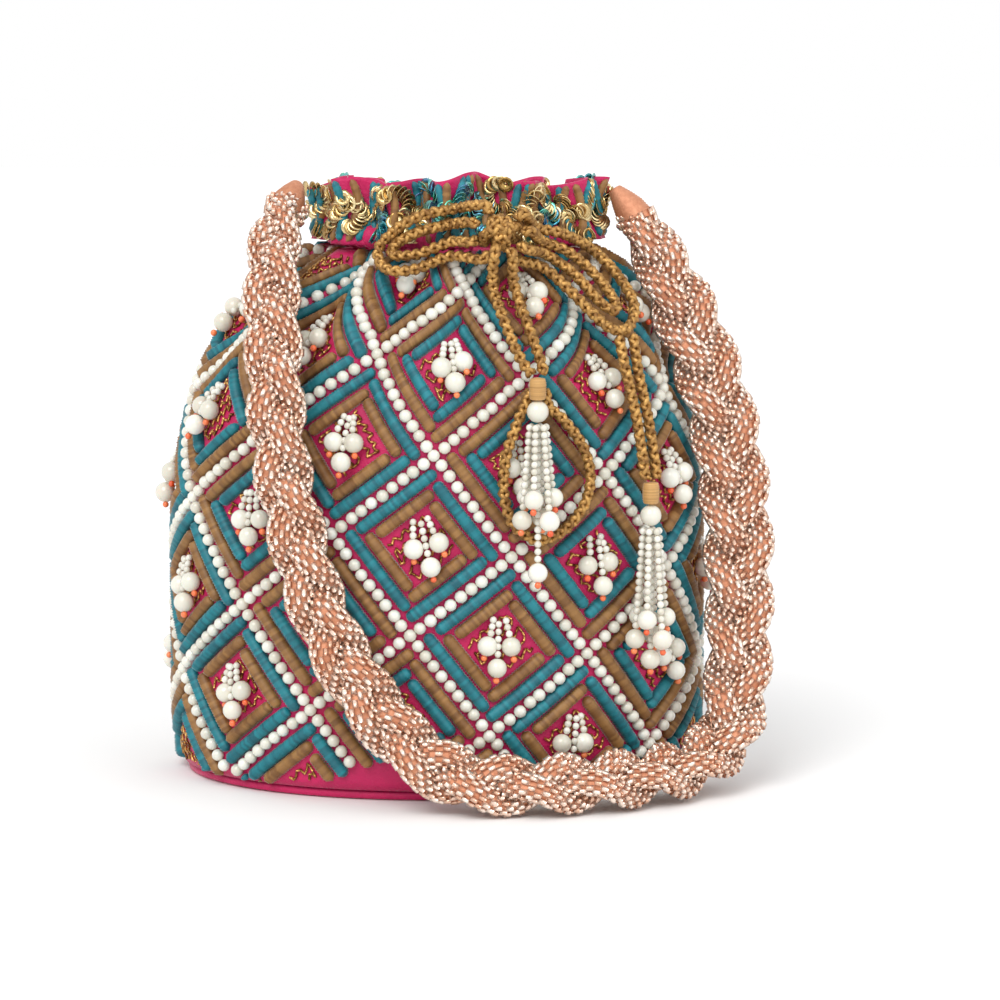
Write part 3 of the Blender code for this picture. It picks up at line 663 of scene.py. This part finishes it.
angle, share = np.meshgrid(
    np.linspace(-math.pi, math.pi, FRILL_COLUMNS, endpoint=False), np.linspace(0, 1, FRILL_ROWS)
)
points, faces = shell(frill_point(angle, share, 0.0), frill_point(angle, share, -0.9 * MM))
frill = add_piece("satin_frill", points, faces, satin, "magenta", "frill")

SEQUIN_RADIUS = 2.6 * MM
SEQUIN_HOLE = 0.5 * MM
CURLS_ROUND = 46
SEQUINS_A_CURL = 15


def frill_axes(angle, share):
    """Along the frill, up it and outwards, as columns."""
    right = unit(frill_point(angle + 0.004, share, 0.0) - frill_point(angle - 0.004, share, 0.0))
    up = unit(frill_point(angle, share + 0.01, 0.0) - frill_point(angle, share - 0.01, 0.0))
    out = unit(np.cross(right, up))
    return np.stack([right, np.cross(out, right), out], -1)


def sequin():
    """A shallow cupped disc with a hole: three rings round it, seen from both sides."""
    turn = np.linspace(0, 2 * math.pi, 12, endpoint=False)
    rings = [(SEQUIN_HOLE, 0.0), (SEQUIN_RADIUS * 0.6, 0.12 * MM), (SEQUIN_RADIUS, 0.55 * MM)]
    rings += [(r, z + 0.12 * MM) for r, z in rings[::-1]]
    points = np.array([[[r * math.cos(t), r * math.sin(t), z] for t in turn] for r, z in rings])
    faces = grid_faces(len(rings), 12, closed_rows=True, closed_columns=True)
    return points.reshape(-1, 3), faces[:, ::-1]


curl = np.linspace(0, 1, SEQUINS_A_CURL)
sequin_sets = {"gold": [], "sea_green": []}
for k in range(CURLS_ROUND):
    middle = -math.pi + 2 * math.pi * (k + 0.5) / CURLS_ROUND
    turn = draw.choice([-1, 1])
    phase = draw.uniform(0, 2 * math.pi)
    heading = phase + turn * 4.6 * curl
    radius = 0.11 * (1 - 0.62 * curl)
    at_angle = middle + radius * np.cos(heading)
    at_share = (0.68 if k % 2 else 0.38) + 2.6 * radius * np.sin(heading)
    colour = "sea_green" if abs(math.sin(middle / 2)) < 0.16 or k % 5 == 3 else "gold"
    rows = np.clip(at_share, 0.12, 1.02)
    axes = frill_axes(at_angle, rows)
    tilt = heading + turn * math.pi / 2
    lead = axes[..., 0] * np.cos(tilt)[:, None] + axes[..., 1] * np.sin(tilt)[:, None]
    normal = unit(axes[..., 2] - 0.55 * lead)
    lead = unit(lead - normal * (lead * normal).sum(-1, keepdims=True))
    frames = np.stack([lead, np.cross(normal, lead), normal], -1)
    sequin_sets[colour].append((frill_point(at_angle, rows, 1.0 * MM), frames))

gold_sequin = Paint("gold_sequins", Metallic=0.9, Roughness=0.2)
gold_sequin.feed("Base Color", gold_sequin.between(gold_sequin.value("shade"), screen(176, 140, 78), screen(244, 226, 176)))
green_sequin = Paint("sea_green_sequins", Metallic=0.85, Roughness=0.18)
glint = green_sequin.between(green_sequin.value("shade"), screen(40, 140, 170), screen(120, 235, 190))
violet = green_sequin.noise(240, 1)
green_sequin.feed("Base Color", green_sequin.between(violet * violet, glint, screen(150, 110, 190)))
for colour, paint in (("gold", gold_sequin), ("sea_green", green_sequin)):
    places = np.concatenate([places for places, _ in sequin_sets[colour]])
    frames = np.concatenate([frames for _, frames in sequin_sets[colour]])
    template = sequin()
    points, faces = stamped(template, places, frames)
    shade = np.repeat(draw.uniform(0, 1, len(places)), len(template[0]))
    add_piece(f"{colour}_sequins", points, faces, paint, "gold_cord", shade=shade)

# The silk rows on the frill.
# Short bars of the same wound silk, laid in arcs between the curls of sequins.
BAR_ROWS = 15
for colour, offset in (("teal", 0.0), ("brown", 0.5)):
    parts = []
    for k in range(CURLS_ROUND):
        middle = -math.pi + 2 * math.pi * (k + offset) / CURLS_ROUND
        t = np.linspace(0, 1, 2 * BAR_ROWS + 1)
        bow = draw.uniform(-0.05, 0.05)
        at_angle = middle + bow * np.sin(math.pi * t) + 0.05 * (k % 3 - 1) * t
        at_share = 0.05 + 0.92 * t
        body = np.sqrt(np.clip(1 - (2 * t - 1) ** 8, 0.0, 1))
        radius = 1.5 * MM * body * (1 - 0.16 * (np.arange(len(t)) % 2)) + 0.01 * MM
        line = frill_point(at_angle, at_share, 0.4 * MM)
        out = frill_axes(at_angle, at_share)[..., 2]
        turn = np.linspace(0, 2 * math.pi, 7, endpoint=False)
        ring = np.stack([np.cos(turn), np.sin(turn)], -1)[None] * radius[:, None, None]
        points = around_line(line, out, ring)
        faces = grid_faces(len(t), 7, closed_columns=True)[:, ::-1]
        shade = np.repeat(draw.uniform(0, 1, BAR_ROWS + 1), 14)[: points.shape[0] * 7]
        parts.append((points.reshape(-1, 3), faces, shade))
    points, faces, shade = joined(parts)
    add_piece(f"{colour}_silk_bars", points, faces, wound[colour], "embroidery", shade=shade)

# The drawstring.
# A limp knitted cord of gold metallic yarn. It runs round the neck in its channel, comes out at the front and
# is tied in a bow, and its two doubled tails hang down to the tassels.
BRAID_RADIUS = 0.95 * MM
BRAID_STRAND = 0.8 * MM
BRAID_PITCH = 6 * MM
BRAID_STEP = 0.55 * MM
BRAID_PLAY = 0.28 * MM
KNOT = np.array([20, -46.5, 175.5]) * MM
KNOT_RADIUS = 6 * MM
KNOT_CLEARANCE = 1.2 * MM
KNOT_LEAD = 4 * MM


def front_point(x, z, lift):
    """The place in front of the pouch at an x and a height, that far out from the cloth."""
    level = min(z, NECK_HEIGHT)
    wide, deep = half_sizes(level)
    across = np.clip((x - NECK_LEAN * shoulder(level)) / (wide + lift), -1, 1)
    return np.array([x, -(deep + lift) * math.sqrt(1 - across * across), z])


def on_cloth(points):
    return [front_point(x * MM, z * MM, lift * MM) for x, z, lift in points]


def knot_exit(*direction):
    """Two places on a line straight out of the knot."""
    away = unit(np.array(direction, float))
    return [KNOT + away * (KNOT_RADIUS + KNOT_CLEARANCE), KNOT + away * (KNOT_RADIUS + KNOT_LEAD)]


def smooth_route(points, spacing):
    """Points a spacing apart on one smooth curve through the given ones (Catmull-Rom)."""
    p = np.array([tuple(q) for q in points], float)
    p = np.concatenate([[2 * p[0] - p[1]], p, [2 * p[-1] - p[-2]]])
    t = np.linspace(0, 1, 24, endpoint=False)[:, None]
    runs = []
    for a, b, c, d in zip(p, p[1:], p[2:], p[3:]):
        runs.append(0.5 * (2 * b + (c - a) * t + (2 * a - 5 * b + 4 * c - d) * t**2 + (3 * b - a - 3 * c + d) * t**3))
    line = np.concatenate(runs + [p[-2:-1]])
    along = np.concatenate([[0], np.cumsum(np.linalg.norm(np.diff(line, axis=0), axis=1))])
    at = np.linspace(0, along[-1], max(3, round(along[-1] / spacing) + 1))
    return np.stack([np.interp(at, along, line[:, k]) for k in range(3)], axis=1), at


def steady_sides(line):
    """A direction across the line at each of its points, turned as little as the line allows."""
    ahead = unit(np.gradient(line, axis=0))
    side = np.cross(ahead[0], [0.3, 0.5, 0.8])
    found = []
    for direction in ahead:
        side = side - direction * (side @ direction)
        side = side / np.linalg.norm(side)
        found.append(side)
    return np.array(found)


def capped(rings, columns):
    """Faces of a tube of rings whose two ends are closed by fans."""
    faces = grid_faces(rings, columns, closed_columns=True)[:, ::-1]
    k = np.arange(1, columns - 1)
    first = np.stack([0 * k, k + 1, k], -1)[:, ::-1]
    last = np.stack([0 * k, k, k + 1], -1)[:, ::-1] + (rings - 1) * columns
    return np.concatenate([faces, first, last])


def braided(route):
    """Four yarns round a line, two turning each way, each over and under the next by a cosine of the length."""
    line, at = smooth_route(route, BRAID_STEP)
    side = steady_sides(line)
    up = np.cross(unit(np.gradient(line, axis=0)), side)
    parts = []
    for way in (1, -1):
        for start in (0, math.pi):
            turn = way * 2 * math.pi * at / BRAID_PITCH + start
            radius = BRAID_RADIUS + way * BRAID_PLAY * np.cos(4 * math.pi * at / BRAID_PITCH)
            yarn = line + (side * np.cos(turn)[:, None] + up * np.sin(turn)[:, None]) * radius[:, None]
            turns = np.linspace(0, 2 * math.pi, 5, endpoint=False)
            ring = np.stack([np.cos(turns), np.sin(turns)], -1)[None] * BRAID_STRAND
            points = around_line(yarn, side, np.broadcast_to(ring, (len(yarn), 5, 2)))
            shade = np.repeat(draw.uniform(0, 1, len(yarn)), 5)
            parts.append((points.reshape(-1, 3), capped(len(yarn), 5), shade))
    return line, at[-1], joined(parts)


metallic_yarn = Paint("gold_metallic_yarn", Metallic=0.55, Roughness=0.36)
metallic_yarn.feed(
    "Base Color", metallic_yarn.between(metallic_yarn.value("shade"), screen(122, 82, 38), screen(214, 166, 94))
)
metallic_yarn.bump(metallic_yarn.noise(3800, 2), 0.12 * MM)

LEFT_OUTER = [(6, 182.5, 11), (-5, 180, 12), (-13, 175, 12), (-17.5, 169, 12.5), (-14.5, 164, 13), (-6, 164.2, 13), (5, 168, 12)]
LEFT_INNER = [(4, 177.6, 11.5), (-5, 175.3, 12), (-12, 171.3, 12.5), (-12.6, 168.2, 13), (-5, 168.6, 12.7), (5, 172.4, 12)]
RIGHT_OUTER = [
    (31, 176.5, 11.5), (40, 174, 12), (49, 168.5, 12), (57, 160.5, 12), (62, 151.5, 12),
    (60, 145.5, 12), (54.5, 145.5, 12), (48, 151, 12), (41, 158, 12), (33, 164.5, 12),
]
RIGHT_INNER = [
    (33, 172.2, 11.8), (41, 168.6, 12), (49, 162, 12), (55, 154.6, 12), (56, 150.6, 12),
    (51.5, 153, 12), (43, 162, 12), (34, 168.2, 12),
]
FRONT_TAIL_LEFT = [(18, 160, 14), (22, 148, 12.5), (26.5, 138, 12.5), (29.8, 133.4, 12.5)]
FRONT_TAIL_RIGHT = [(24.5, 160, 14), (28.5, 148, 12.5), (32, 139, 12.5), (33.6, 133.4, 12.5)]
FRONT_END_LOOP = [
    (29.7, 128, 7.8), (27.6, 123, 7.2), (25, 117, 7.2), (22, 108, 7.2), (21.4, 97, 7.2),
    (24.4, 87.6, 7.2), (31.5, 82.6, 7.2), (39.5, 85, 7.2), (46, 92.5, 7.2), (48, 101.5, 7.2),
    (45.4, 111, 7.2), (39.5, 119, 7.4), (35.2, 123, 7.6), (34, 128, 7.8),
]
SIDE_TAIL_LEFT = [(57, 143, 12), (59.2, 132, 11.2), (62, 120, 10.8), (64, 108, 10.6), (65, 99.8, 10.6)]
SIDE_TAIL_RIGHT = [(61.4, 143, 12), (63, 132, 11.2), (65.6, 120, 10.8), (67.6, 108, 10.6), (68.6, 99.8, 10.6)]

angle = np.linspace(MOUTH + 0.12, 2 * math.pi + MOUTH - 0.12, 60)
hidden = oval_point(angle, np.full(60, NECK_HEIGHT), 0.0)
hidden[:, 2] = CHANNEL_HEIGHT
routes = {
    "drawstring_in_channel": [*knot_exit(0.5, 0.9, -0.25), *hidden, *knot_exit(-0.5, 0.9, -0.25)[::-1]],
    "bow_left_outer_loop": [*knot_exit(-0.5, -0.2, 0.95), *on_cloth(LEFT_OUTER), *knot_exit(-0.6, -0.15, -0.9)[::-1]],
    "bow_left_inner_loop": [*knot_exit(-1, -0.15, 0.36), *on_cloth(LEFT_INNER), *knot_exit(-1, -0.15, -0.3)[::-1]],
    "bow_right_outer_loop": [*knot_exit(0.8, -0.2, 0.65), *on_cloth(RIGHT_OUTER), *knot_exit(0.55, 0.15, -0.9)[::-1]],
    "bow_right_inner_loop": [*knot_exit(1, -0.15, 0.05), *on_cloth(RIGHT_INNER), *knot_exit(0.85, -0.15, -0.5)[::-1]],
    "front_tail_left_strand": [*knot_exit(-0.15, -0.85, -0.6), *on_cloth(FRONT_TAIL_LEFT)],
    "front_tail_right_strand": [*knot_exit(0.45, -0.6, -0.75), *on_cloth(FRONT_TAIL_RIGHT)],
    "front_tail_end_loop": on_cloth(FRONT_END_LOOP),
    "side_tail_left_strand": on_cloth(SIDE_TAIL_LEFT),
    "side_tail_right_strand": on_cloth(SIDE_TAIL_RIGHT),
}
# The knot: the doubled cord wound twice round the meeting of the loops, and once across.
turn = np.linspace(0, 2 * math.pi * 2.2, 22)
wind = KNOT + np.stack([-2.6 + 5.2 * turn / turn[-1], -4.3 * np.cos(turn), 4.3 * np.sin(turn)], -1) * MM
turn = np.linspace(-2.2, 2.2, 12)
across = KNOT + np.stack([5.2 * np.sin(turn), -4.8 * np.cos(turn), 1.5 * np.cos(turn) + 1.2 * turn], -1) * MM
knot_parts = joined([braided(wind)[2], braided(across)[2]])
knot = add_piece("bow_knot_winds", knot_parts[0], knot_parts[1], metallic_yarn, "gold_cord", "bow_knot", shade=knot_parts[2])
cords = {}
for name, route in routes.items():
    line, length, (points, faces, shade) = braided(route)
    cord = add_piece(f"{name}_cord", points, faces, metallic_yarn, "gold_cord", name, shade=shade)
    cords[name] = (cord, line, length)

# The tassels.
# Each tail is bound with tan thread under its cord ends. Below the binding hang a pearl and seven strings of
# seed pearls, each of which ends in a larger pearl and an orange stop bead.
FRONT_BINDING = (31.7, 129, 12.5)
SIDE_BINDING = (66.8, 95.2, 11)
BINDING_LENGTH = 7 * MM
BINDING_RADIUS = 2.7 * MM
TASSEL_PEARL = 3.1 * MM
TOP_PEARL = 3.4 * MM
GAP = 0.35 * MM
STRINGS_ROUND = 6
STRING_RING_TOP, STRING_RING_END = 2.5 * MM, 5 * MM
PEARL_STAGGER = 6.4 * MM
TASSELS = {
    "front": (FRONT_BINDING, (22 * MM, 22 * MM, 0.29)),
    "side": (SIDE_BINDING, (28 * MM, 13 * MM, 0.05)),
}
binding_thread = thread("tan_thread", screen(168, 122, 66), screen(216, 170, 106))
string_middles, string_stops, string_ends = {}, {}, {}
for side, (binding, (first_pearl, longer, forward)) in TASSELS.items():
    middle = front_point(*(np.array(binding) * MM))
    rows = np.linspace(-1, 1, 29)
    barrel = BINDING_RADIUS * np.sqrt(1 - 0.45 * rows**4) * (1 - 0.07 * (np.arange(29) % 2))
    barrel[[0, -1]] *= 0.3
    turn = np.linspace(0, 2 * math.pi, 20, endpoint=False)
    wobble = 1 + 0.02 * np.sin(3 * turn)
    points = np.stack(
        [
            barrel[:, None] * np.cos(turn) * wobble,
            barrel[:, None] * np.sin(turn) * wobble,
            np.broadcast_to(rows[:, None] * BINDING_LENGTH / 2, (29, 20)),
        ],
        -1,
    )
    shade = np.repeat(draw.uniform(0, 1, 29), 20)
    wound_end = add_piece(
        f"{side}_tassel_thread_binding", points + middle, capped(29, 20)[:, ::-1], binding_thread, "binding",
        f"{side}_tassel_binding", shade=shade,
    )
    pearl_at = middle - [0, 0, BINDING_LENGTH / 2 + TASSEL_PEARL + GAP]
    top_pearl = beads(f"{side}_top_pearl", pearl_at[None], TOP_PEARL, ball(12, 18), pearl, "pearl", f"{side}_tassel_top_pearl")
    top = pearl_at - [0, 0, TASSEL_PEARL * 1.1 + GAP]
    seeds, ends, stops = [], [], []
    for k in range(STRINGS_ROUND + 1):
        around = 2 * math.pi * (k + 0.25) / STRINGS_ROUND
        ring = np.array([math.cos(around), math.sin(around), 0]) * (k < STRINGS_ROUND)
        long = first_pearl + (PEARL_STAGGER * (k % 2) if k < STRINGS_ROUND else longer)
        start = top + ring * STRING_RING_TOP
        end = top + ring * STRING_RING_END + np.array([0, -forward, -1]) * long
        reach = np.linalg.norm(end - start)
        count = max(2, round((reach - TASSEL_PEARL) / (2 * SEED_RADIUS * 0.97)))
        share = (np.arange(count) + 0.5) / count * (reach - TASSEL_PEARL) / reach
        seeds.append(start + (end - start) * share[:, None])
        ends.append(end)
        stops.append(end + (end - start) / reach * (TASSEL_PEARL + STOP_RADIUS * 0.7))
    nodes = [f"{side}_tassel_string_{k + 1}" for k in range(STRINGS_ROUND + 1)]
    strings = beads(f"{side}_tassel_seed_beads", np.concatenate(seeds), SEED_RADIUS, ball(6, 8), pearl, "pearl", *nodes)
    tassel_pearls = beads(f"{side}_tassel_pearls", np.array(ends), TASSEL_PEARL, ball(10, 16), pearl, "pearl")
    tassel_stops = beads(f"{side}_tassel_stop_beads", np.array(stops), STOP_RADIUS, ball(6, 9), orange, "pearl")

for name, (cord, line, length) in cords.items():
    line[::3].tolist() + [line[-1].tolist()]

# The handle.
# Three tubes of crocheted bugle beads in rose gold over a copper-coloured core, plaited flat. The plait comes
# out of the neck at the left, hangs over the front, lies on the floor and goes back up to the neck at the right.
HANDLE_ROUTE = [
    (-46, -17, 181), (-49, -26, 174), (-50, -36, 165), (-50, -46, 152), (-49, -56, 137),
    (-48, -62, 120), (-46, -64, 102), (-42, -66, 84), (-37, -68.5, 66), (-29, -71.5, 48),
    (-18, -74, 31), (-5, -76, 17), (9, -78, 9.5), (23, -79, 8), (38, -77, 8), (53, -71.5, 8),
    (68, -62, 8), (81, -50, 9), (90.5, -39, 15), (94.5, -31, 27), (95.5, -27, 44), (95.5, -25, 62),
    (95, -23, 80), (93, -21, 98), (89.5, -19, 116), (84, -16, 133), (77.5, -13, 148),
    (71.5, -9, 161), (66, -5, 171.5), (61.6, -2.5, 177.5),
]
# The way the plait's flat side faces, and half the plait's spread, at shares of the route.
FACING = [(0.0, (-0.5, -0.8, 0.3)), (0.3, (-0.3, -0.9, 0.2)), (0.48, (0, -0.6, 0.8)), (0.62, (0, -0.5, 0.85)), (0.72, (0.3, -0.95, 0.1)), (1.0, (0.3, -0.95, 0.2))]
SPREAD = [(0.0, 1.6), (0.06, 4.4), (0.3, 4.8), (0.5, 5.4), (0.68, 6.2), (0.8, 7.2), (0.93, 6.4), (1.0, 1.6)]
STRAND_WIDE, STRAND_DEEP = 4.1 * MM, 2.9 * MM
PLAIT_DEPTH = 3.2 * MM
PLAIT_PERIOD = 58 * MM
BEAD_COLUMNS = 14
BEAD_PITCH = 3.4 * MM
BEAD_LENGTH = 2.4 * MM
BEAD_RADIUS = 0.92 * MM
PLAIT_LIFT = 1.6 * MM

line, at = smooth_route(np.array(HANDLE_ROUTE) * MM, 1.0 * MM)
line[:, 2] += PLAIT_LIFT
share = at / at[-1]
facing = np.stack([np.interp(share, [f[0] for f in FACING], [f[1][k] for f in FACING]) for k in range(3)], -1)
spread = np.interp(share, [s[0] for s in SPREAD], [s[1] for s in SPREAD]) * MM
ahead = unit(np.gradient(line, axis=0))
deep_way = unit(facing - ahead * (facing * ahead).sum(-1, keepdims=True))
wide_way = np.cross(deep_way, ahead)
rose_core = Paint("copper_core", Metallic=0.4, Roughness=0.45)
rose_core.feed("Base Color", rose_core.between(rose_core.noise(900, 2), screen(186, 116, 82), screen(228, 164, 128)))
rose_core.bump(rose_core.noise(2600, 2), 0.2 * MM)
rose_bead = Paint("rose_gold_bugles", Metallic=0.75, Roughness=0.2, Coat_Weight=0.3, Coat_Roughness=0.08)
rose_bead.feed("Base Color", rose_bead.between(rose_bead.value("shade"), screen(222, 176, 148), screen(254, 238, 224)))
cores, bead_parts = [], []
turn = np.linspace(0, 2 * math.pi, 12, endpoint=False)
for k in range(3):
    phase = 2 * math.pi * (at / PLAIT_PERIOD + k / 3)
    strand = line + wide_way * (spread * np.sin(phase))[:, None] + deep_way * (PLAIT_DEPTH * np.sin(2 * phase))[:, None]
    ring = np.stack([STRAND_WIDE * np.cos(turn), STRAND_DEEP * np.sin(turn)], -1) * 0.86
    rows = around_line(strand[::3], deep_way[::3], np.broadcast_to(ring, (len(strand[::3]), 12, 2)))
    cores.append((rows.reshape(-1, 3), capped(len(rows), 12)))
    strand_ahead = unit(np.gradient(strand, axis=0))
    flat = unit(deep_way - strand_ahead * (deep_way * strand_ahead).sum(-1, keepdims=True))
    side = np.cross(flat, strand_ahead)
    along = np.concatenate([[0], np.cumsum(np.linalg.norm(np.diff(strand, axis=0), axis=1))])
    rows = int(along[-1] / BEAD_PITCH)
    for column in range(BEAD_COLUMNS):
        where = (np.arange(rows) + 0.25 + 0.5 * (column % 2)) * BEAD_PITCH
        pick = lambda values: np.stack([np.interp(where, along, values[:, n]) for n in range(3)], -1)
        round_ = 2 * math.pi * (column + 0.12 * np.sin(where * 700)) / BEAD_COLUMNS
        across = pick(side) * (STRAND_WIDE * np.cos(round_))[:, None]
        out = pick(flat) * (STRAND_DEEP * np.sin(round_))[:, None]
        normal = unit(pick(side) * (np.cos(round_) / STRAND_WIDE)[:, None] + pick(flat) * (np.sin(round_) / STRAND_DEEP)[:, None])
        lead = unit(pick(strand_ahead) + draw.normal(0, 0.09, (rows, 3)))
        lead = unit(lead - normal * (lead * normal).sum(-1, keepdims=True))
        bead_parts.append((pick(strand) + across + out, np.stack([lead, np.cross(normal, lead), normal], -1)))
core_points, core_faces = joined(cores)
handle = add_piece("handle_plait_cores", core_points, core_faces, rose_core, "rose_gold", "handle_plait")
places = np.concatenate([p for p, _ in bead_parts])
frames = np.concatenate([f for _, f in bead_parts])
template = rod(4)
sizes = np.array([[BEAD_LENGTH, BEAD_RADIUS, BEAD_RADIUS]]) * draw.uniform(0.9, 1.06, (len(places), 1))
points, faces = stamped(template, places, frames, sizes)
shade = np.repeat(draw.uniform(0, 1, len(places)), len(template[0]))
bugles = add_piece("handle_bugle_beads", points, faces, rose_bead, "rose_gold", smooth=False, shade=shade)

# The plait's ends, bound with thread where they go into the neck under the frill.
END_LENGTH = 9 * MM
for name, tip, before in (("left", line[0], line[4]), ("right", line[-1], line[-5])):
    out = unit(tip - before)
    rows = np.linspace(-0.5, 1, 31)
    radius = np.interp(rows, [-0.5, -0.4, 0.1, 0.5, 0.97, 1], [3, 5.6, 5.2, 4.0, 2.2, 0.6]) * MM
    radius = radius * (1 - 0.05 * (np.arange(31) % 2))
    turn = np.linspace(0, 2 * math.pi, 18, endpoint=False)
    ring = np.stack([np.cos(turn), np.sin(turn)], -1)[None] * radius[:, None, None]
    spine = tip + out * (rows * END_LENGTH)[:, None]
    points = around_line(spine, np.broadcast_to([0.1, 0.3, 0.9], spine.shape), ring)
    shade = np.repeat(draw.uniform(0, 1, 31), 18)
    add_piece(f"handle_{name}_bound_end", points, capped(31, 18), rose_core, "rose_gold", f"handle_{name}_end", shade=shade)
line[::4].tolist() + [line[-1].tolist()]
